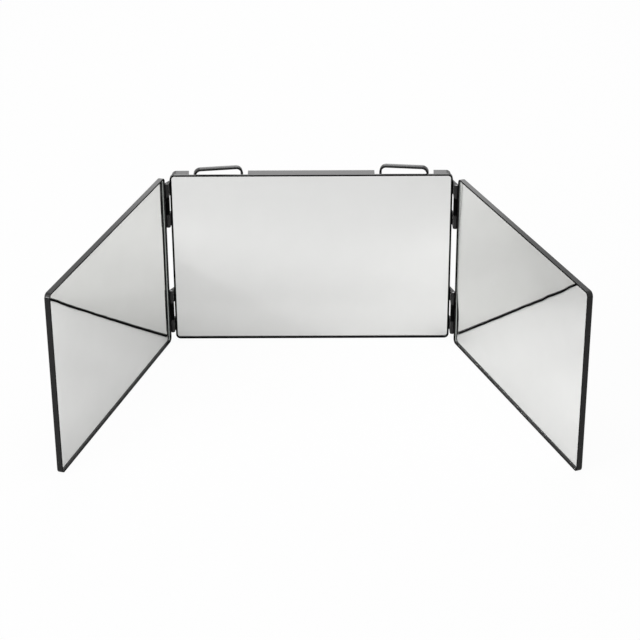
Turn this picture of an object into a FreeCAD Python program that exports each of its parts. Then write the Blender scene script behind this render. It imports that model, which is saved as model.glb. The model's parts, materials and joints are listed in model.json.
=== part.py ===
import FreeCAD, Part
import math
import os

# Trifold vanity mirror: a centre panel with a deep back housing, and two thin wings hinged to its sides.
# Two door hooks telescope out of the housing's top on steel rods, and swivel about them.
# Frame: origin at the middle of the centre panel's bottom edge, +X to the right, +Y to the back, +Z up.
# Both wings stand part open. Every length is in millimetres and every angle in degrees.

# ---- panels
panel_width = 290.0
panel_height = 188.0
corner_radius = 5.0
frame_depth = 4.3           # centre panel's front frame
wing_depth = 5.5
wing_shortfall = 6.0        # a wing is this much narrower than the centre panel
rim_width = 1.7
centre_rim_proud = 1.1      # rim above the mirror's face
wing_rim_proud = 1.55
rim_round = 0.3
lip_chamfer = 0.2
mirror_thickness = 1.5
mirror_clearance = 0.15
mirror_bevel = 0.35
adhesive_thickness = 0.3
adhesive_inset = 5.0
back_field_inset = 7.0      # shallow field in the back of each wing
back_field_depth = 0.35
wing_back_round = 0.5

# ---- hinges
left_open_angle = 107.2     # between the two mirror faces, 0 is folded shut and 180 is flat
right_open_angle = 110.7
barrel_radius = 2.5
barrel_gap = 0.5            # barrel to the centre panel's side
pin_radius = 1.0
pin_running_gap = 0.05
pin_recess = 0.3
left_axis_forward = 2.2     # left hinge line in front of the centre panel's rim
wing_face_offset = 0.6      # wing's rim behind its hinge line
wing_end_clearance = 0.1    # wing's end beyond the barrel's own radius
stack_gap = 0.4             # between the folded wings
hinge_length = 48.4
upper_hinge_inset = 8.1     # upper hinge's top end to the panel's top edge
lower_hinge_inset = 9.8     # lower hinge's bottom end to the panel's bottom edge
end_knuckle = 14.3
knuckle_gap = 0.5
hinge_root_front = 0.8      # where a lug meets the panel's side, behind the rim's face
hinge_root_depth = 6.7
side_gap = 0.1              # lug to the panel's side, and neck to its slot
flange_thickness = 1.5
flange_extra = 2.1          # flange runs this much further back than the neck
web_thickness = 1.6         # wing knuckle's web at the wing's end

# ---- back housing
housing_inset = 1.5         # housing's side behind the front frame's side
wall = 1.6
back_wall = 1.9
back_round = 0.5
recess_margin = 19.4        # panel's side to the hook recess
recess_lining = 1.5
recess_rod_gap = 2.9        # ferrule to the recess's outer wall
recess_tip_gap = 5.0        # free leg to the recess's inner wall
recess_floor_gap = 4.8      # free leg to the recess's floor, when the hook is home
relief_front = 2.1          # rim left standing in front of a recess
relief_depth = 3.0
post_radius = 3.2
seat_radius = 3.9
seat_thickness = 1.3
seat_gap = 0.2
screw_edge = 10.0
screw_side_inset = 11.0
screw_recess_inset = 24.9   # middle screws, inward from a recess
screw_radius = 1.4
screw_clearance = 0.3
screw_head_radius = 2.8
screw_head_height = 1.4
screw_head_gap = 0.25
screw_head_sink = 0.3       # head below the back face
cross_width = 0.7
cross_length = 3.0
cross_depth = 0.8
screw_tip_gap = 0.5

# ---- door hooks
hook_span = 50.6            # over both legs
hook_thickness = 2.2
hook_strip = 6.2
hook_bend = 7.0             # outer radius
hook_reach = 35.0           # free leg below the crown's underside
hook_tip_round = 2.2
left_hook_angle = 8.3       # turned back from the panel's plane
right_hook_angle = 6.7
left_hook_lift = 4.1        # above the position where the crown is flush with the panel's top
right_hook_lift = 5.7
tang_width = 4.0
tang_depth = 5.0
ferrule_wall = 0.7
ferrule_gap = 0.3           # ferrule to the front frame's back
ferrule_length = 14.0
ferrule_floor = 2.5
ferrule_chamfer = 0.4
ferrule_above_floor = 5.0   # ferrule above the recess floor when the hook is home
rod_radius = 2.0
rod_head_lip = 0.5
rod_head_height = 2.5
rod_head_gap = 0.1
slide_gap = 0.05
guide_wall = 0.5            # rod to the tube's bore
tube_wall = 0.4
tube_above_floor = 2.0
tube_gap = 0.1              # tube to what it lies in
tube_bottom = 12.0
bush_collar = 2.0
bush_spigot = 4.0
rod_foot_gap = 2.0
guide_length = 8.0
plug_spigot = 6.0
plug_flange = 1.0
tube_rest = 3.0
tube_rest_half_width = 6.0
clamp_half_width = 11.0
clamp_height = 8.0
clamp_front_gap = 0.1       # saddle to the front frame's back
clamp_low = 28.0            # lower clamp above the tube's bottom
clamp_high = 30.0           # upper clamp below the recess floor
clamp_screw_spread = 7.0
clamp_post_radius = 2.4
clamp_screw_radius = 1.0
clamp_head_radius = 1.9
clamp_head_height = 1.0
clamp_screw_bite = 2.4
clamp_screw_gap = 0.1

# ---- worked out from the sizes above
tube_bore = rod_radius + guide_wall
tube_radius = tube_bore + tube_wall
rod_head_radius = rod_radius + rod_head_lip
ferrule_radius = rod_head_radius + rod_head_gap + ferrule_wall
panel_depth = frame_depth + ferrule_gap + ferrule_radius + tube_radius + tube_gap + back_wall
front = -panel_depth / 2
back = panel_depth / 2
frame_back = front + frame_depth
wing_width = panel_width - wing_shortfall
mirror_bed = mirror_thickness + adhesive_thickness
side = panel_width / 2
housing_side = side - housing_inset
inner_side = housing_side - wall
hinge_x = side + barrel_gap + barrel_radius
left_hinge_y = front - left_axis_forward
right_hinge_y = left_hinge_y - wing_depth - stack_gap
wing_start = barrel_radius + wing_end_clearance
wing_back = wing_face_offset + wing_depth
mid_knuckle = hinge_length - 2 * (end_knuckle + knuckle_gap)
hinge_bottoms = {"lower": lower_hinge_inset, "upper": panel_height - upper_hinge_inset - hinge_length}
housing_inner_back = back - back_wall
recess_outer = side - recess_margin
rod_x = recess_outer - recess_rod_gap - ferrule_radius
rod_y = frame_back + ferrule_gap + ferrule_radius
recess_inner = rod_x + hook_thickness / 2 - hook_span - recess_tip_gap
recess_floor = panel_height - hook_thickness - hook_reach - recess_floor_gap
clamp_front = frame_back + clamp_front_gap
tube_top = recess_floor + tube_above_floor
ferrule_bottom = recess_floor + ferrule_above_floor
rod_bottom = tube_bottom + plug_spigot + rod_foot_gap
head_seat = back - screw_head_sink - screw_head_height
UP = FreeCAD.Vector(0, 0, 1)


def box(x0, x1, y0, y1, z0, z1):
    return Part.makeBox(x1 - x0, y1 - y0, z1 - z0, FreeCAD.Vector(x0, y0, z0))


def post(x, z, radius, y0, y1):
    """A round bar along Y."""
    return Part.makeCylinder(radius, y1 - y0, FreeCAD.Vector(x, y0, z), FreeCAD.Vector(0, 1, 0))


def bar(x, y, radius, z0, z1):
    """A round bar along Z."""
    return Part.makeCylinder(radius, z1 - z0, FreeCAD.Vector(x, y, z0), UP)


def slab(x0, x1, z0, z1, y0, y1, radius):
    """A rounded rectangle in XZ, from y0 back to y1."""
    def at(x, z):
        return FreeCAD.Vector(x, y0, z)

    r = radius
    k = r * (1 - math.sqrt(0.5))
    edges = [
        Part.LineSegment(at(x0 + r, z0), at(x1 - r, z0)).toShape(),
        Part.Arc(at(x1 - r, z0), at(x1 - k, z0 + k), at(x1, z0 + r)).toShape(),
        Part.LineSegment(at(x1, z0 + r), at(x1, z1 - r)).toShape(),
        Part.Arc(at(x1, z1 - r), at(x1 - k, z1 - k), at(x1 - r, z1)).toShape(),
        Part.LineSegment(at(x1 - r, z1), at(x0 + r, z1)).toShape(),
        Part.Arc(at(x0 + r, z1), at(x0 + k, z1 - k), at(x0, z1 - r)).toShape(),
        Part.LineSegment(at(x0, z1 - r), at(x0, z0 + r)).toShape(),
        Part.Arc(at(x0, z0 + r), at(x0 + k, z0 + k), at(x0 + r, z0)).toShape(),
    ]
    return Part.Face(Part.Wire(edges)).extrude(FreeCAD.Vector(0, y1 - y0, 0))


def edges_at(shape, y):
    """The edges that lie wholly in the plane at y."""
    return [e for e in shape.Edges if abs(e.BoundBox.YMin - y) < 1e-4 and abs(e.BoundBox.YMax - y) < 1e-4]


def prism(points, z0, z1):
    """A closed outline of (x, y) points, carried from z0 up to z1."""
    outline = Part.makePolygon([FreeCAD.Vector(x, y, z0) for x, y in points + points[:1]])
    return Part.Face(outline).extrude(FreeCAD.Vector(0, 0, z1 - z0))


def mirrored(shape):
    return shape.mirror(FreeCAD.Vector(0, 0, 0), FreeCAD.Vector(1, 0, 0))


def turned(shape, angle, x, y):
    """A copy turned by angle about the vertical line through x, y."""
    made = shape.copy()
    made.rotate(FreeCAD.Vector(x, y, 0), UP, angle)
    return made


def save(name, solids):
    """Writes one node: a solid, or a list of separate solids."""
    shape = Part.makeCompound(solids) if isinstance(solids, list) else solids
    shape.exportStep("parts/" + name + ".step")


# ---- front frames, mirrors and adhesive, with the rim's face at y0 and one side at x0
def frame_tray(x0, width, y0, depth, proud):
    outer = slab(x0, x0 + width, 0, panel_height, y0, y0 + depth, corner_radius)
    outer = outer.makeFillet(rim_round, edges_at(outer, y0))
    well = slab(x0 + rim_width, x0 + width - rim_width, rim_width, panel_height - rim_width,
                y0, y0 + proud + mirror_bed, corner_radius - rim_width)
    lip = slab(x0 + rim_width - lip_chamfer, x0 + width - rim_width + lip_chamfer, rim_width - lip_chamfer,
               panel_height - rim_width + lip_chamfer, y0 - lip_chamfer, y0 + lip_chamfer,
               corner_radius - rim_width + lip_chamfer)
    lip = lip.makeChamfer(lip_chamfer - 0.001, edges_at(lip, y0 + lip_chamfer))
    return outer.cut(well).cut(lip)


def mirror_pane(x0, width, y0, proud):
    inset = rim_width + mirror_clearance
    face = y0 + proud
    pane = slab(x0 + inset, x0 + width - inset, inset, panel_height - inset,
                face, face + mirror_thickness, corner_radius - inset)
    return pane.makeChamfer(mirror_bevel, edges_at(pane, face))


def adhesive_sheet(x0, width, y0, proud):
    inset = rim_width + adhesive_inset
    glass_back = y0 + proud + mirror_thickness
    return slab(x0 + inset, x0 + width - inset, inset, panel_height - inset,
                glass_back, glass_back + adhesive_thickness, rim_width)


# ---- wings, modelled about the hinge line as the right wing lying flat open
def wing_knuckle(bottom):
    """The middle knuckle of a hinge and the web that ties it to the wing's end."""
    z0 = bottom + end_knuckle + knuckle_gap
    z1 = z0 + mid_knuckle
    foot = wing_start + web_thickness
    web = prism([(0, barrel_radius), (0, 0), (barrel_radius, 0), (wing_start, wing_face_offset),
                 (foot, wing_face_offset + rim_round), (foot, wing_back - wing_back_round),
                 (wing_start, wing_back - wing_back_round)], z0, z1)
    return bar(0, 0, barrel_radius, z0, z1).fuse(web)


def wing_frame():
    tray = frame_tray(wing_start, wing_width, wing_face_offset, wing_depth, wing_rim_proud)
    tray = tray.makeFillet(wing_back_round, edges_at(tray, wing_back))
    field = slab(wing_start + back_field_inset, wing_start + wing_width - back_field_inset, back_field_inset,
                 panel_height - back_field_inset, wing_back - back_field_depth, wing_back + back_field_depth,
                 corner_radius - rim_width)
    tray = tray.cut(field)
    for bottom in hinge_bottoms.values():
        tray = tray.fuse(wing_knuckle(bottom))
    for bottom in hinge_bottoms.values():
        tray = tray.cut(bar(0, 0, pin_radius + pin_running_gap, bottom, bottom + hinge_length))
    return tray.removeSplitter()


def place_wing(shape, hand, open_angle, hinge_y):
    """Puts a wing on its hinge line. hand is 1 on the right and -1 on the left."""
    made = shape if hand > 0 else mirrored(shape)
    made = turned(made, hand * (open_angle - 180), 0, 0)
    made.translate(FreeCAD.Vector(hand * hinge_x, hinge_y, 0))
    return made


# ---- hinge blocks, held in the housing's side wall, modelled for the right side
def tangent_point(x, y, radius, px, py):
    """Where a line from px, py touches a circle at x, y, on its outer side."""
    reach = math.hypot(px - x, py - y)
    angle = math.atan2(py - y, px - x) - math.acos(radius / reach)
    return x + radius * math.cos(angle), y + radius * math.sin(angle)


def hinge_block(bottom, hinge_y):
    root = side + side_gap
    root_front = front + hinge_root_front
    root_back = root_front + hinge_root_depth
    touch = tangent_point(hinge_x, hinge_y, barrel_radius, root, root_back)
    lug = [(hinge_x - barrel_radius, hinge_y), (hinge_x - barrel_radius, root_front), (root, root_front),
           (root, root_back), touch, (hinge_x, hinge_y)]
    neck_front = frame_back + side_gap
    block = box(inner_side - flange_thickness, inner_side, neck_front, root_back + flange_extra,
                bottom, bottom + hinge_length)
    for z0 in (bottom, bottom + hinge_length - end_knuckle):
        z1 = z0 + end_knuckle
        block = block.fuse([bar(hinge_x, hinge_y, barrel_radius, z0, z1), prism(lug, z0, z1),
                            box(inner_side, root, neck_front, root_back, z0, z1)])
    return block.cut(bar(hinge_x, hinge_y, pin_radius, bottom, bottom + hinge_length)).removeSplitter()


def hinge_pin(bottom, hinge_y):
    return bar(hinge_x, hinge_y, pin_radius, bottom + pin_recess, bottom + hinge_length - pin_recess)


# ---- centre panel
def screw_places():
    """x, z of every housing screw."""
    low = screw_edge
    high = panel_height - screw_edge
    out = side - screw_side_inset
    mid = recess_inner - screw_recess_inset
    rows = [(out, low), (out, panel_height / 2), (out, high), (mid, low), (mid, high)]
    return [(hand * x, z) for x, z in rows for hand in (-1, 1)]


def centre_frame():
    tray = frame_tray(-side, panel_width, front, frame_depth, centre_rim_proud)
    seat_front = head_seat - seat_thickness
    for x, z in screw_places():
        tray = tray.fuse(post(x, z, post_radius, frame_back, seat_front - seat_gap))
        tray = tray.cut(post(x, z, screw_radius, frame_back + screw_tip_gap, seat_front))
    for hand in (-1, 1):
        x0, x1 = sorted((hand * recess_inner, hand * recess_outer))
        tray = tray.cut(box(x0, x1, front + relief_front, back, panel_height - relief_depth, panel_height + 1))
    return tray.removeSplitter()


def hook_recess(hand):
    x0, x1 = sorted((hand * recess_inner, hand * recess_outer))
    return box(x0, x1, frame_back - 1, back + 1, recess_floor, panel_height + 1)


def clamp_places():
    """z of the middle of each tube clamp."""
    return [tube_bottom + clamp_low, recess_floor - clamp_high]


def centre_housing():
    shell = slab(-housing_side, housing_side, 0, panel_height, frame_back, back, corner_radius)
    shell = shell.makeFillet(back_round, edges_at(shell, back))
    outline = shell
    shell = shell.cut(slab(-inner_side, inner_side, wall, panel_height - wall, frame_back, housing_inner_back,
                           corner_radius - wall))
    adds = []
    for hand in (-1, 1):
        x0, x1 = sorted((hand * recess_inner, hand * recess_outer))
        adds.append(box(x0 - recess_lining, x1 + recess_lining, frame_back, back,
                        recess_floor - recess_lining, panel_height).common(outline))
        adds.append(box(hand * rod_x - tube_rest_half_width, hand * rod_x + tube_rest_half_width,
                        frame_back + seat_gap, housing_inner_back,
                        tube_bottom - plug_flange - tube_rest, tube_bottom - plug_flange))
        for z in clamp_places():
            for spread in (-clamp_screw_spread, clamp_screw_spread):
                adds.append(post(hand * rod_x + spread, z, clamp_post_radius, rod_y, housing_inner_back))
    for x, z in screw_places():
        adds.append(post(x, z, seat_radius, head_seat - seat_thickness, housing_inner_back))
    shell = shell.fuse(adds)
    cuts = []
    for hand in (-1, 1):
        cuts.append(hook_recess(hand))
        cuts.append(bar(hand * rod_x, rod_y, tube_radius + tube_gap, recess_floor - 2 * recess_lining,
                        recess_floor + 1))
        for z in clamp_places():
            for spread in (-clamp_screw_spread, clamp_screw_spread):
                cuts.append(post(hand * rod_x + spread, z, clamp_screw_radius, rod_y, rod_y + clamp_screw_bite))
        for bottom in hinge_bottoms.values():
            for z0 in (bottom, bottom + hinge_length - end_knuckle):
                x0, x1 = sorted((hand * (inner_side - side_gap), hand * (side + 1)))
                cuts.append(box(x0, x1, frame_back - 1, front + hinge_root_front + hinge_root_depth + side_gap,
                                z0 - side_gap, z0 + end_knuckle + side_gap))
    for x, z in screw_places():
        cuts.append(post(x, z, screw_head_radius + screw_head_gap, head_seat, back + 1))
        cuts.append(post(x, z, screw_radius + screw_clearance, frame_back, back))
    return shell.cut(cuts).removeSplitter()


def cross_recess(x, y, z):
    """The tool for a cross in a screw head whose top is at y."""
    half = cross_length / 2
    thin = cross_width / 2
    return box(x - half, x + half, y - cross_depth, y + 1, z - thin, z + thin).fuse(
        box(x - thin, x + thin, y - cross_depth, y + 1, z - half, z + half))


def housing_screws():
    screws = []
    tip = frame_back + screw_tip_gap
    top = head_seat + screw_head_height
    for x, z in screw_places():
        head = post(x, z, screw_head_radius, head_seat, top)
        head = head.makeFillet(rim_round, edges_at(head, top))
        screws.append(head.fuse(post(x, z, screw_radius, tip, head_seat)).cut(cross_recess(x, top, z)))
    return screws


# ---- telescoping rods, in place on side hand, with the hook at its lift
def outer_tube(hand):
    x = hand * rod_x
    return bar(x, rod_y, tube_radius, tube_bottom, tube_top).cut(bar(x, rod_y, tube_bore, tube_bottom, tube_top))


def tube_bush(hand):
    x = hand * rod_x
    made = bar(x, rod_y, tube_bore, tube_top - bush_spigot, tube_top).fuse(
        bar(x, rod_y, ferrule_radius, tube_top, tube_top + bush_collar))
    return made.cut(bar(x, rod_y, rod_radius + slide_gap, tube_top - bush_spigot, tube_top + bush_collar))


def tube_plug(hand):
    x = hand * rod_x
    return bar(x, rod_y, tube_bore, tube_bottom, tube_bottom + plug_spigot).fuse(
        bar(x, rod_y, tube_radius, tube_bottom - plug_flange, tube_bottom))


def tube_clamps(hand):
    """Two saddles that hold a tube down on the housing's posts."""
    x = hand * rod_x
    saddles = []
    for z in clamp_places():
        saddle = box(x - clamp_half_width, x + clamp_half_width, clamp_front, rod_y,
                     z - clamp_height / 2, z + clamp_height / 2)
        saddle = saddle.cut(bar(x, rod_y, tube_radius + tube_gap, z - clamp_height, z + clamp_height))
        for spread in (-clamp_screw_spread, clamp_screw_spread):
            saddle = saddle.cut(post(x + spread, z, clamp_head_radius + clamp_screw_gap, clamp_front - 1,
                                     clamp_front + clamp_head_height))
            saddle = saddle.cut(post(x + spread, z, clamp_screw_radius + clamp_screw_gap, clamp_front, rod_y + 1))
        saddles.append(saddle)
    return saddles


def clamp_screws():
    screws = []
    for hand in (-1, 1):
        for z in clamp_places():
            for spread in (-clamp_screw_spread, clamp_screw_spread):
                x = hand * rod_x + spread
                head_back = clamp_front + clamp_head_height
                screws.append(post(x, z, clamp_head_radius, clamp_front, head_back).fuse(
                    post(x, z, clamp_screw_radius, head_back, rod_y + clamp_screw_bite)))
    return screws


def hook_rod(hand, lift):
    x = hand * rod_x
    head = ferrule_bottom + ferrule_floor + rod_head_gap + lift
    return bar(x, rod_y, rod_radius, rod_bottom + lift, head).fuse(
        bar(x, rod_y, rod_head_radius, head, head + rod_head_height))


def rod_guide(hand, lift):
    x = hand * rod_x
    z0 = rod_bottom + lift
    return bar(x, rod_y, tube_bore - slide_gap, z0, z0 + guide_length).cut(
        bar(x, rod_y, rod_radius, z0, z0 + guide_length))


# ---- hooks, modelled flat along +X from a rod at the origin, crown flush with the panel's top
def door_hook():
    half = hook_thickness / 2
    top = panel_height
    far = hook_span - half
    bend = hook_bend
    k = bend * (1 - math.sqrt(0.5))
    inner = bend - hook_thickness
    j = half + inner * (1 - math.sqrt(0.5))
    foot = ferrule_bottom + ferrule_length
    tip = top - hook_thickness - hook_reach
    y = -hook_strip / 2

    def at(x, z):
        return FreeCAD.Vector(x, y, z)

    edges = [
        Part.LineSegment(at(-half, foot), at(-half, top - bend)).toShape(),
        Part.Arc(at(-half, top - bend), at(-half + k, top - k), at(-half + bend, top)).toShape(),
        Part.LineSegment(at(-half + bend, top), at(far - bend, top)).toShape(),
        Part.Arc(at(far - bend, top), at(far - k, top - k), at(far, top - bend)).toShape(),
        Part.LineSegment(at(far, top - bend), at(far, tip)).toShape(),
        Part.LineSegment(at(far, tip), at(far - hook_thickness, tip)).toShape(),
        Part.LineSegment(at(far - hook_thickness, tip), at(far - hook_thickness, top - bend)).toShape(),
        Part.Arc(at(far - hook_thickness, top - bend), at(far - half - j, top - hook_thickness - (j - half)),
                 at(far - bend, top - hook_thickness)).toShape(),
        Part.LineSegment(at(far - bend, top - hook_thickness), at(-half + bend, top - hook_thickness)).toShape(),
        Part.Arc(at(-half + bend, top - hook_thickness), at(j, top - hook_thickness - (j - half)),
                 at(half, top - bend)).toShape(),
        Part.LineSegment(at(half, top - bend), at(half, foot)).toShape(),
        Part.LineSegment(at(half, foot), at(-half, foot)).toShape(),
    ]
    strip = Part.Face(Part.Wire(edges)).extrude(FreeCAD.Vector(0, hook_strip, 0))
    corners = [e for e in strip.Edges if e.BoundBox.ZMax < tip + 1e-4 and e.BoundBox.YLength < 1e-4]
    strip = strip.makeFillet(hook_tip_round, corners)
    return strip.fuse(box(-half, half, -tang_width / 2, tang_width / 2, foot - tang_depth, foot))


def hook_ferrule():
    z0 = ferrule_bottom
    z1 = z0 + ferrule_length
    half = hook_thickness / 2
    made = bar(0, 0, ferrule_radius, z0, z1)
    rims = [e for e in made.Edges if e.BoundBox.ZLength < 1e-4]
    made = made.makeChamfer(ferrule_chamfer, rims)
    cavity = z0 + ferrule_floor
    made = made.cut(bar(0, 0, rod_radius + slide_gap, z0, cavity))
    made = made.cut(bar(0, 0, rod_head_radius + rod_head_gap, cavity,
                        cavity + rod_head_height + 2 * rod_head_gap))
    return made.cut(box(-half, half, -tang_width / 2, tang_width / 2, z1 - tang_depth, z1 + 1))


def place_hook(shape, hand, angle, lift):
    made = shape if hand > 0 else mirrored(shape)
    made = mirrored(made)
    made = turned(made, -hand * angle, 0, 0)
    made.translate(FreeCAD.Vector(hand * rod_x, rod_y, lift))
    return made


def main():
    os.makedirs("parts", exist_ok=True)
    save("centre_front_frame", centre_frame())
    save("centre_mirror", mirror_pane(-side, panel_width, front, centre_rim_proud))
    save("centre_adhesive_sheet", adhesive_sheet(-side, panel_width, front, centre_rim_proud))
    save("centre_back_housing", centre_housing())
    save("housing_screws", housing_screws())
    save("tube_clamp_screws", clamp_screws())

    for name, hand, angle, hinge_y in (("left", -1, left_open_angle, left_hinge_y),
                                       ("right", 1, right_open_angle, right_hinge_y)):
        pieces = {
            "frame": wing_frame(),
            "mirror": mirror_pane(wing_start, wing_width, wing_face_offset, wing_rim_proud),
            "adhesive_sheet": adhesive_sheet(wing_start, wing_width, wing_face_offset, wing_rim_proud),
        }
        for piece, shape in pieces.items():
            save(name + "_wing_" + piece, place_wing(shape, hand, angle, hinge_y))
        for level, bottom in hinge_bottoms.items():
            for piece, shape in (("hinge_block", hinge_block(bottom, hinge_y)),
                                 ("hinge_pin", hinge_pin(bottom, hinge_y))):
                save(level + "_" + name + "_" + piece, shape if hand > 0 else mirrored(shape))

    for name, hand, angle, lift in (("left", -1, left_hook_angle, left_hook_lift),
                                    ("right", 1, right_hook_angle, right_hook_lift)):
        save(name + "_outer_tube", outer_tube(hand))
        save(name + "_tube_bush", tube_bush(hand))
        save(name + "_tube_plug", tube_plug(hand))
        save(name + "_tube_clamps", tube_clamps(hand))
        save(name + "_hook_rod", hook_rod(hand, lift))
        save(name + "_rod_guide", rod_guide(hand, lift))
        save(name + "_door_hook", place_hook(door_hook(), hand, angle, lift))
        save(name + "_hook_ferrule", place_hook(hook_ferrule(), hand, angle, lift))


main()
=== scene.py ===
import json
from math import radians
import bmesh
import bpy
from mathutils import Matrix, Vector


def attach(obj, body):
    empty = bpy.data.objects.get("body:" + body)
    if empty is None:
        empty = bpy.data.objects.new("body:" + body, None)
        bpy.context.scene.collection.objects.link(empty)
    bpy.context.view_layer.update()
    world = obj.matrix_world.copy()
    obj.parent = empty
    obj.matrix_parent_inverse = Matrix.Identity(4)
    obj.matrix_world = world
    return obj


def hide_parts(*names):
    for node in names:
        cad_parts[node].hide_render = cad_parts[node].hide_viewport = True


# Trifold vanity mirror. Everything is in metres, +Z is up and the mirrors face -Y.

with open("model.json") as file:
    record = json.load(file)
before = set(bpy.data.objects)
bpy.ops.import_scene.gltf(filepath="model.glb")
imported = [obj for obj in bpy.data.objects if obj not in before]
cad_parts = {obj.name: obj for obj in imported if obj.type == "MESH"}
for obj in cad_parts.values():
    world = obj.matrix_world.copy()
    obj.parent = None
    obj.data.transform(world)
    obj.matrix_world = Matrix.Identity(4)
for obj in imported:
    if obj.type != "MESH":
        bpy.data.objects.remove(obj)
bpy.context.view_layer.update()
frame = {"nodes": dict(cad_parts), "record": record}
nodes = frame["nodes"]
joints = {joint["name"]: joint for joint in frame["record"]["behaviour"]["joints"]}
print("frame loaded:", len(nodes), "nodes")

sides = ("left", "right")
levels = ("lower", "upper")


def restOfWing(side):
    # from a wing lying flat open to a wing at rest
    joint = joints[side + "_wing_hinge"]
    hinge = Matrix.Translation(joint["pos_m"])
    fromFlat = -radians(joint["range_deg"][0]) * joint["axis"][2]
    return hinge @ Matrix.Rotation(fromFlat, 4, "Z") @ hinge.inverted()


# camera, with its lens and sensor in millimetres and its angles in degrees
cameraSetup = {
    "place": (0.01632, -1.86501, 0.96751),
    "turn": 0.248,           # to the left
    "down": 26.971,          # below level
    "roll": -0.306,
    "lens": 110.654,
    "sensor": 36.0,
}


def addCamera():
    data = bpy.data.cameras.new("camera")
    data.lens = cameraSetup["lens"]
    data.sensor_width = cameraSetup["sensor"]
    data.sensor_fit = "HORIZONTAL"
    camera = bpy.data.objects.new("camera", data)
    turn = (Matrix.Rotation(radians(cameraSetup["turn"]), 4, "Z")
            @ Matrix.Rotation(radians(90 - cameraSetup["down"]), 4, "X")
            @ Matrix.Rotation(radians(cameraSetup["roll"]), 4, "Z"))
    camera.matrix_world = Matrix.Translation(cameraSetup["place"]) @ turn
    bpy.context.scene.collection.objects.link(camera)
    bpy.context.scene.camera = camera


# material building
def newMaterial(name):
    material = bpy.data.materials.new(name)
    material.use_nodes = True
    tree = material.node_tree
    return material, tree, tree.nodes["Principled BSDF"]


def setInputs(tree, node, values):
    # a socket is linked, and anything else is set as it is
    for name, value in values.items():
        if isinstance(value, bpy.types.NodeSocket):
            tree.links.new(value, node.inputs[name])
        else:
            node.inputs[name].default_value = value


def addNode(tree, kind, inputs=None, **settings):
    node = tree.nodes.new(kind)
    for name, value in settings.items():
        setattr(node, name, value)
    setInputs(tree, node, inputs or {})
    return node


def reckon(tree, operation, first, second):
    return addNode(tree, "ShaderNodeMath", {0: first, 1: second}, operation=operation).outputs[0]


def remap(tree, value, source, target):
    # carries a value from one range onto another, and holds it at the ends
    return addNode(tree, "ShaderNodeMapRange", {
        "Value": value, "From Min": source[0], "From Max": source[1],
        "To Min": target[0], "To Max": target[1]}).outputs["Result"]


# noise keeps near the middle of its 0 to 1 range, so only the bands named here are drawn out
noise = {
    "roughness": 0.55,
    "glossBand": (0.25, 0.75),
    "colourBand": (0.3, 0.7),
    "grainDetail": 2.0,      # octaves of a fine grain
}


def objectNoise(tree, scale, detail, stretch=(1, 1, 1)):
    # noise on Object coordinates, scale in features per metre
    where = addNode(tree, "ShaderNodeTexCoord").outputs["Object"]
    placed = addNode(tree, "ShaderNodeMapping", {"Vector": where, "Scale": stretch}).outputs["Vector"]
    return addNode(tree, "ShaderNodeTexNoise", {
        "Vector": placed, "Scale": scale, "Detail": detail, "Roughness": noise["roughness"]}).outputs["Fac"]


def shades(tree, value, dark, light):
    # a colour between two, driven by a 0 to 1 value
    ramp = addNode(tree, "ShaderNodeValToRGB", {"Fac": value})
    for element, place, colour in zip(ramp.color_ramp.elements, noise["colourBand"], (dark, light)):
        element.position = place
        element.color = (*colour, 1)
    return ramp.outputs["Color"]


def bumpOf(tree, height, strength, depth):
    return addNode(tree, "ShaderNodeBump", {
        "Height": height, "Strength": strength, "Distance": depth}).outputs["Normal"]


def patternedFinish(look):
    # one pattern drives colour and gloss, and the same one or a finer grain drives the relief
    material, tree, shader = newMaterial(look["name"])
    pattern = objectNoise(tree, look["pattern"], look["detail"], look.get("stretch", (1, 1, 1)))
    values = {"Base Color": shades(tree, pattern, look["dark"], look["light"]), "Roughness": look["rough"]}
    if "smooth" in look:
        values["Roughness"] = remap(tree, pattern, noise["glossBand"], (look["smooth"], look["rough"]))
    if "relief" in look:
        grain = objectNoise(tree, look["grain"], noise["grainDetail"]) if "grain" in look else pattern
        values["Normal"] = bumpOf(tree, grain, look["relief"], look["depth"])
    if "metal" in look:
        values["Metallic"] = look["metal"]
    if "clear" in look:
        values["IOR"] = look["clear"]
    setInputs(tree, shader, values)
    return material


# Looks of the finishes. Patterns and grains are in features per metre, and clear is the refraction index.

# moulded black plastic of the frames and the housing
framePlastic = {
    "name": "moulded black plastic",
    "dark": (0.0070, 0.0070, 0.0072),
    "light": (0.0110, 0.0110, 0.0113),
    "pattern": 60.0,         # slow change of gloss over the moulding
    "detail": 3.0,
    "smooth": 0.16,
    "rough": 0.22,
    "clear": 1.35,
    "grain": 2600.0,
    "relief": 0.10,
    "depth": 0.00002,
}
# the same plastic, matte, with a deeper black colour that is painted shade, on the front and inner faces of
# the rims around the mirrors
shadedRimPlastic = {
    **framePlastic,
    "name": "dull black rim plastic",
    "dark": (0.0015, 0.0015, 0.0016),
    "light": (0.0025, 0.0025, 0.0026),
    "smooth": 0.32,
    "rough": 0.42,
    "clear": 1.08,
    "relief": 0.20,
}
# and a little greyer, on the hinge blocks
hingePlastic = {
    **framePlastic,
    "name": "hinge plastic",
    "dark": (0.012, 0.012, 0.0124),
    "light": (0.018, 0.018, 0.0185),
}
# ground side edges of the panes, pale and faintly green
groundGlass = {
    "name": "ground glass edge",
    "dark": (0.50, 0.54, 0.52),
    "light": (0.62, 0.66, 0.64),
    "pattern": 4000.0,
    "detail": 2.0,
    "smooth": 0.35,
    "rough": 0.5,
    "relief": 0.2,
    "depth": 0.00003,
}
# top and bottom edges of the panes, near black as sealing paint and as painted shade where they face up and
# down
sealedShadedGlass = {
    "name": "sealed and shaded glass edge",
    "dark": (0.012, 0.013, 0.013),
    "light": (0.022, 0.023, 0.023),
    "pattern": 2500.0,
    "detail": 2.0,
    "smooth": 0.45,
    "rough": 0.6,
    "relief": 0.2,
    "depth": 0.00003,
}
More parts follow.
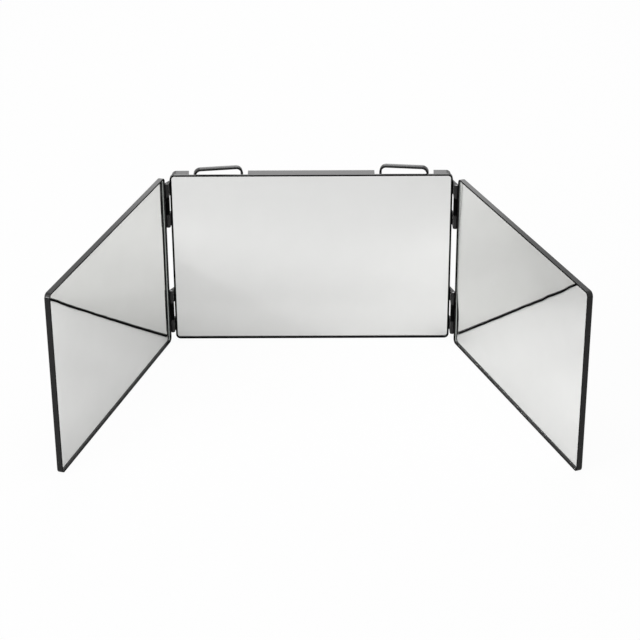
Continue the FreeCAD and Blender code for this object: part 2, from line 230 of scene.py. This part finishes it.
# grey paint behind the silver
backingPaint = {
    "name": "backing paint",
    "dark": (0.16, 0.17, 0.18),
    "light": (0.20, 0.21, 0.22),
    "pattern": 240.0,
    "detail": 4.0,
    "rough": 0.6,
}
# foam sheets that hold the panes
foamTape = {
    "name": "foam tape",
    "dark": (0.70, 0.69, 0.66),
    "light": (0.82, 0.81, 0.78),
    "pattern": 1800.0,       # cells of the foam
    "detail": 3.0,
    "rough": 0.9,
    "relief": 0.5,
    "depth": 0.0001,
}
# black painted strip of the hooks, and their ferrules
hookPaint = {
    "name": "satin black paint",
    "dark": (0.006, 0.006, 0.0063),
    "light": (0.010, 0.010, 0.0105),
    "pattern": 90.0,
    "detail": 5.0,
    "smooth": 0.20,
    "rough": 0.28,
    "clear": 1.35,
    "grain": 700.0,          # orange peel of the paint
    "relief": 0.25,
    "depth": 0.00004,
}
# rods and their tubes, drawn along Z, so that the fine lines run along them
platedSteel = {
    "name": "plated steel",
    "dark": (0.66, 0.66, 0.67),
    "light": (0.76, 0.76, 0.77),
    "pattern": 900.0,
    "detail": 3.0,
    "stretch": (1, 1, 0.03),
    "smooth": 0.12,
    "rough": 0.22,
    "metal": 1.0,
    "relief": 0.15,
    "depth": 0.00002,
}
# hinge pins, drawn along Z too
pinSteel = {
    "name": "pin steel",
    "dark": (0.42, 0.42, 0.43),
    "light": (0.54, 0.54, 0.55),
    "pattern": 1500.0,
    "detail": 3.0,
    "stretch": (1, 1, 0.05),
    "smooth": 0.28,
    "rough": 0.4,
    "metal": 1.0,
}
# screws
blackOxide = {
    "name": "black oxide steel",
    "dark": (0.022, 0.022, 0.024),
    "light": (0.045, 0.045, 0.048),
    "pattern": 1400.0,
    "detail": 4.0,
    "smooth": 0.35,
    "rough": 0.5,
    "metal": 0.7,
}
# bushes, plugs, guides and clamps inside the housing
blackNylon = {
    "name": "black nylon",
    "dark": (0.018, 0.018, 0.019),
    "light": (0.026, 0.026, 0.027),
    "pattern": 1500.0,
    "detail": 3.0,
    "smooth": 0.5,
    "rough": 0.6,
    "relief": 0.2,
    "depth": 0.00003,
}

# silvered face of the panes
silver = {
    "dark": (0.872, 0.874, 0.864),
    "light": (0.888, 0.890, 0.880),
    "haze": 35.0,            # slow change of tone, features per metre
    "hazeDetail": 4.0,
    "gloss": 0.004,
    "wave": 24.0,            # waves of the float glass, per metre
    "waveDetail": 1.0,
    "waveDepth": 0.00009,
}
# a wing's pane leans back by these angles, in radians, at its foot and at paneTop
bow = {"left": {"foot": 0.026, "top": 0.009}, "right": {"foot": 0.022, "top": 0.012}}
paneTop = 0.186
# and the right one curls forward beside its hinge, least at the foot
curl = {
    "start": 0.00445,        # from the hinge line
    "reach": 0.008,          # how far it runs on from there
    "slope": 0.32,           # rise over run, where it starts
    "footLevel": 0.03,
    "fullLevel": 0.08,
    "footShare": 0.12,       # share of the slope that is left at the foot
}


def alongWing(tree, where, side):
    # distance from the hinge line towards the wing's free end
    hinge = Vector(joints[side + "_wing_hinge"]["pos_m"])
    outward = restOfWing(side).to_3x3() @ Vector((-1 if side == "left" else 1, 0, 0))
    along = addNode(tree, "ShaderNodeVectorMath", {0: where, 1: outward}, operation="DOT_PRODUCT")
    return reckon(tree, "SUBTRACT", along.outputs["Value"], hinge.dot(outward))


def bowedHeight(tree, level, lean):
    # relief of a pane whose lean changes evenly from its foot to its top
    bend = (lean["foot"] - lean["top"]) / (2 * paneTop)
    slope = reckon(tree, "SUBTRACT", reckon(tree, "MULTIPLY", level, bend), lean["foot"])
    return reckon(tree, "MULTIPLY", level, slope)


def curledHeight(tree, where, level, side):
    # relief of a curl whose slope fades evenly over its reach
    near = remap(tree, alongWing(tree, where, side), (curl["start"], curl["start"] + curl["reach"]), (1, 0))
    squared = reckon(tree, "MULTIPLY", near, near)
    lift = reckon(tree, "MULTIPLY", squared, curl["slope"] * curl["reach"] / 2)
    share = remap(tree, level, (curl["footLevel"], curl["fullLevel"]), (curl["footShare"], 1))
    return reckon(tree, "MULTIPLY", lift, share)


def silveredGlass(name, side=None):
    material, tree, shader = newMaterial(name)
    haze = objectNoise(tree, silver["haze"], silver["hazeDetail"])
    waves = objectNoise(tree, silver["wave"], silver["waveDetail"])
    height = reckon(tree, "MULTIPLY", waves, silver["waveDepth"])
    where = addNode(tree, "ShaderNodeTexCoord").outputs["Object"]
    level = addNode(tree, "ShaderNodeSeparateXYZ", {"Vector": where}).outputs["Z"]
    if side:
        height = reckon(tree, "ADD", height, bowedHeight(tree, level, bow[side]))
    if side == "right":
        height = reckon(tree, "ADD", height, curledHeight(tree, where, level, side))
    setInputs(tree, shader, {
        "Base Color": shades(tree, haze, silver["dark"], silver["light"]),
        "Metallic": 1.0,
        "Roughness": silver["gloss"],
        "Normal": bumpOf(tree, height, 1.0, 1.0),     # the height is in metres as it is
    })
    return material


# the record's slots first, then what only the pieces made here wear
finishes = {
    "black_frame_plastic": patternedFinish(framePlastic),
    "adhesive_foam": patternedFinish(foamTape),
    "pin_steel": patternedFinish(pinSteel),
    "screw_steel": patternedFinish(blackOxide),
    "rod_steel": patternedFinish(platedSteel),
    "black_nylon": patternedFinish(blackNylon),
    "black_hook_steel": patternedFinish(hookPaint),
    "mirror_glass": silveredGlass("silvered glass"),
    "leftWingGlass": silveredGlass("silvered glass, left wing", "left"),
    "rightWingGlass": silveredGlass("silvered glass, right wing", "right"),
    "groundEdge": patternedFinish(groundGlass),
    "sealedShadedEdge": patternedFinish(sealedShadedGlass),
    "paneBack": patternedFinish(backingPaint),
    "rim": patternedFinish(shadedRimPlastic),
    "hinge": patternedFinish(hingePlastic),
}
print("finishes made:", len(finishes))


def dressNodes():
    # every CAD node wears the finish of its slot in the record
    for entry in frame["record"]["subparts"]:
        finish = finishes[entry["material_slot"]]
        data = nodes[entry["node"]].data
        if not data.materials:
            data.materials.append(finish)
        for index in range(len(data.materials)):
            data.materials[index] = finish


# placing pieces
def flatBox(node, place):
    # lowest and highest corner of a node once place is undone
    undo = place.inverted()
    points = [undo @ vertex.co for vertex in nodes[node].data.vertices]
    low = Vector(min(point[axis] for point in points) for axis in range(3))
    high = Vector(max(point[axis] for point in points) for axis in range(3))
    return low, high


sharpFrom = 35               # degrees between two faces that leave their edge sharp


def finishPiece(mesh, name, body, materials, node):
    data = bpy.data.meshes.new(name)
    mesh.to_mesh(data)
    mesh.free()
    for material in materials:
        data.materials.append(material)
    for polygon in data.polygons:
        polygon.use_smooth = True
    data.set_sharp_from_angle(angle=radians(sharpFrom))
    piece = bpy.data.objects.new(name, data)
    bpy.context.scene.collection.objects.link(piece)
    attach(piece, body)
    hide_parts(node)
    return piece


# mirror panes
pane = {
    "corner": 0.0032,        # rounded corner of the pane
    "cornerSteps": 8,
    "seam": 0.0001,          # polished arris in front of the ground edge
    "silverDepth": 0.0004,   # how deep the silver looks behind the clear face
    "wallLean": 0.00001,     # how far the walls around the silver lean in
    "facing": 0.8,           # a face points along an axis from this much of its normal
}
silverFace, groundWall, paintedBack, sealedShadedWall = range(4)     # the pane's materials, in order


def mirrorPane(node, body, place, silvered):
    low, high = flatBox(node, place)
    size = high - low
    middle = (low + high) / 2
    mesh = bmesh.new()
    bmesh.ops.create_grid(mesh, x_segments=1, y_segments=1, size=0.5)
    bmesh.ops.transform(mesh, verts=mesh.verts, matrix=Matrix.Rotation(radians(90), 4, "X"))
    bmesh.ops.scale(mesh, verts=mesh.verts, vec=(size.x, 1, size.z))
    bmesh.ops.translate(mesh, verts=mesh.verts, vec=(middle.x, low.y, middle.z))
    bmesh.ops.bevel(mesh, geom=mesh.verts[:], offset=pane["corner"], offset_type="OFFSET",
                    segments=pane["cornerSteps"], profile=0.5, affect="VERTICES", material=-1)
    grown = bmesh.ops.extrude_face_region(mesh, geom=mesh.faces[:])
    backVerts = [item for item in grown["geom"] if isinstance(item, bmesh.types.BMVert)]
    bmesh.ops.translate(mesh, verts=backVerts, vec=(0, size.y, 0))
    bmesh.ops.recalc_face_normals(mesh, faces=mesh.faces)
    for part in mesh.faces:
        part.material_index = paintedBack if part.normal.y > pane["facing"] else groundWall
    field = next(part for part in mesh.faces if part.normal.y < -pane["facing"])
    seam = bmesh.ops.inset_region(mesh, faces=[field], thickness=pane["seam"], use_even_offset=True)
    for strip in seam["faces"]:
        level = strip.calc_center_median().z
        # strips at the top and bottom take the near-black edge, which is sealing paint and painted shade
        if min(level - low.z, high.z - level) < pane["seam"]:
            strip.material_index = sealedShadedWall
    sunk = bmesh.ops.inset_region(mesh, faces=[field], thickness=pane["wallLean"],
                                  depth=-pane["silverDepth"], use_even_offset=True)
    for wall in sunk["faces"]:
        # walls facing up or down are near black, as sealing paint and painted shade, and the side walls are
        # pale ground glass
        wall.material_index = sealedShadedWall if abs(wall.normal.z) > pane["facing"] else groundWall
    field.material_index = silverFace
    bmesh.ops.transform(mesh, verts=mesh.verts, matrix=place)
    materials = [silvered, finishes["groundEdge"], finishes["paneBack"], finishes["sealedShadedEdge"]]
    finishPiece(mesh, node + "_pane", body, materials, node)


# worked copies of CAD meshes
copied = {
    "merge": 0.00001,        # points nearer than this are one
    "flat": 0.5,             # degrees, faces that turn less are one
}


def workedCopy(node):
    # a merged copy of a node's mesh, with its flat faces whole
    mesh = bmesh.new()
    mesh.from_mesh(nodes[node].data)
    bmesh.ops.remove_doubles(mesh, verts=mesh.verts, dist=copied["merge"])
    bmesh.ops.dissolve_limit(mesh, angle_limit=radians(copied["flat"]), verts=mesh.verts, edges=mesh.edges)
    return mesh


# frames, with rims in the matte rim plastic whose deeper black is painted shade
rim = {
    "depth": 0.0035,         # how far the matte, painted-shade finish goes behind the rim's front
    "facing": 0.7,           # a face points along Y from this much of its normal
}


def panelFrame(node, body, place):
    low, high = flatBox(node, place)
    middle = (low + high) / 2
    undo = place.inverted()
    mesh = workedCopy(node)
    for part in mesh.faces:
        normal = undo.to_3x3() @ part.normal
        where = undo @ part.calc_center_median()
        front = normal.y < -rim["facing"]
        inward = abs(normal.y) < rim["facing"] and normal.dot(where - middle) < 0
        # forward and inward faces near the rim's front get the rim plastic, painted darker as shade
        dullAndShaded = (front or inward) and where.y < low.y + rim["depth"]
        part.material_index = 1 if dullAndShaded else 0
    materials = [finishes["black_frame_plastic"], finishes["rim"]]
    piece = finishPiece(mesh, node + "_moulding", body, materials, node)
    # flat faces stay flat beside their rounded edges
    piece.modifiers.new("even shading", "WEIGHTED_NORMAL").keep_sharp = True


# edges broken on hooks and hinge blocks, where two faces turn by more than sharp, in degrees
hookEdge = {"width": 0.00035, "segments": 3, "sharp": 50}
hingeEdge = {"width": 0.00025, "segments": 3, "sharp": 40}


def breakEdges(mesh, width, segments, sharp):
    edges = [edge for edge in mesh.edges
             if len(edge.link_faces) == 2 and edge.calc_face_angle() > radians(sharp)]
    bmesh.ops.bevel(mesh, geom=edges, offset=width, offset_type="OFFSET", segments=segments, profile=0.5,
                    affect="EDGES", clamp_overlap=True, material=-1)


def doorHook(side):
    node = side + "_door_hook"
    mesh = workedCopy(node)
    breakEdges(mesh, **hookEdge)
    finishPiece(mesh, side + "_hook_strip", side + "_hook",
                [finishes["black_hook_steel"]], node)


def hingeBlock(level, side):
    node = level + "_" + side + "_hinge_block"
    mesh = workedCopy(node)
    breakEdges(mesh, **hingeEdge)
    finishPiece(mesh, node + "_moulding", "centre_panel", [finishes["hinge"]], node)


# floor, backdrop and light
white = (1, 1, 1, 1)
studio = {
    "floorSize": 14.0,
    "floorDrop": 0.0003,
    "floorColour": (0.80, 0.80, 0.80, 1),
    "floorRough": 0.9,
    "cameraGlow": 0.95,      # share of plain white that the camera sees in the floor
    "fillStrength": 0.30,    # even light from the whole backdrop
    "lampAim": (0, -0.1, 0.09),
}
lamps = {
    "key": {"place": (-1.7, -1.9, 1.0), "size": 0.25, "power": 10.0},
    "side": {"place": (-1.5, -0.9, 1.6), "size": 1.2, "power": 10.0},
    "top": {"place": (0.0, -0.2, 2.2), "size": 2.0, "power": 22.6},
    "back": {"place": (0.0, 1.7, 0.8), "size": 0.8, "power": 2.5},
    "highBack": {"place": (0.0, 1.2, 1.7), "size": 0.8, "power": 8.8},
}


def floorWhite():
    # the mirrors show it as it is lit, and the camera sees it nearly plain white
    material, tree, shader = newMaterial("floor white")
    setInputs(tree, shader, {"Base Color": studio["floorColour"], "Roughness": studio["floorRough"],
                             "Specular IOR Level": 0.0})
    light = addNode(tree, "ShaderNodeLightPath")
    seen = reckon(tree, "MAXIMUM", light.outputs["Is Camera Ray"], light.outputs["Is Transmission Ray"])
    share = reckon(tree, "MULTIPLY", seen, studio["cameraGlow"])
    glow = addNode(tree, "ShaderNodeEmission", {"Color": white, "Strength": 1.0})
    mixed = addNode(tree, "ShaderNodeMixShader", {
        "Fac": share, 1: shader.outputs["BSDF"], 2: glow.outputs["Emission"]})
    tree.links.new(mixed.outputs["Shader"], tree.nodes["Material Output"].inputs["Surface"])
    return material


def addFloor():
    mesh = bmesh.new()
    bmesh.ops.create_grid(mesh, x_segments=1, y_segments=1, size=studio["floorSize"] / 2)
    bmesh.ops.translate(mesh, verts=mesh.verts, vec=(0, 0, -studio["floorDrop"]))
    data = bpy.data.meshes.new("floor")
    mesh.to_mesh(data)
    mesh.free()
    data.materials.append(floorWhite())
    floor = bpy.data.objects.new("floor", data)
    bpy.context.scene.collection.objects.link(floor)


def addBackdrop():
    # plain white to the camera, in mirrors and through glass, and a soft fill for everything else
    world = bpy.data.worlds.new("backdrop")
    bpy.context.scene.world = world
    world.use_nodes = True
    tree = world.node_tree
    light = addNode(tree, "ShaderNodeLightPath")
    seen = reckon(tree, "MAXIMUM", light.outputs["Is Camera Ray"], light.outputs["Is Glossy Ray"])
    plain = reckon(tree, "MAXIMUM", seen, light.outputs["Is Transmission Ray"])
    setInputs(tree, tree.nodes["Background"], {
        "Color": white, "Strength": remap(tree, plain, (0, 1), (studio["fillStrength"], 1))})


def addLamp(name, setup):
    data = bpy.data.lights.new(name, "AREA")
    data.shape = "DISK"
    data.size = setup["size"]
    data.energy = setup["power"]
    lamp = bpy.data.objects.new(name, data)
    lamp.location = setup["place"]
    aim = Vector(studio["lampAim"]) - lamp.location
    lamp.rotation_mode = "QUATERNION"
    lamp.rotation_quaternion = aim.to_track_quat("-Z", "Y")
    bpy.context.scene.collection.objects.link(lamp)


addCamera()
bpy.context.scene.view_settings.view_transform = "Standard"
addFloor()
addBackdrop()
for lampName, lampSetup in lamps.items():
    addLamp(lampName, lampSetup)
print("studio set")

dressNodes()
mirrorPane("centre_mirror", "centre_panel", Matrix.Identity(4), finishes["mirror_glass"])
panelFrame("centre_front_frame", "centre_panel", Matrix.Identity(4))
for side in sides:
    mirrorPane(side + "_wing_mirror", side + "_wing", restOfWing(side), finishes[side + "WingGlass"])
    panelFrame(side + "_wing_frame", side + "_wing", restOfWing(side))
    doorHook(side)
    for level in levels:
        hingeBlock(level, side)
print("pieces made")
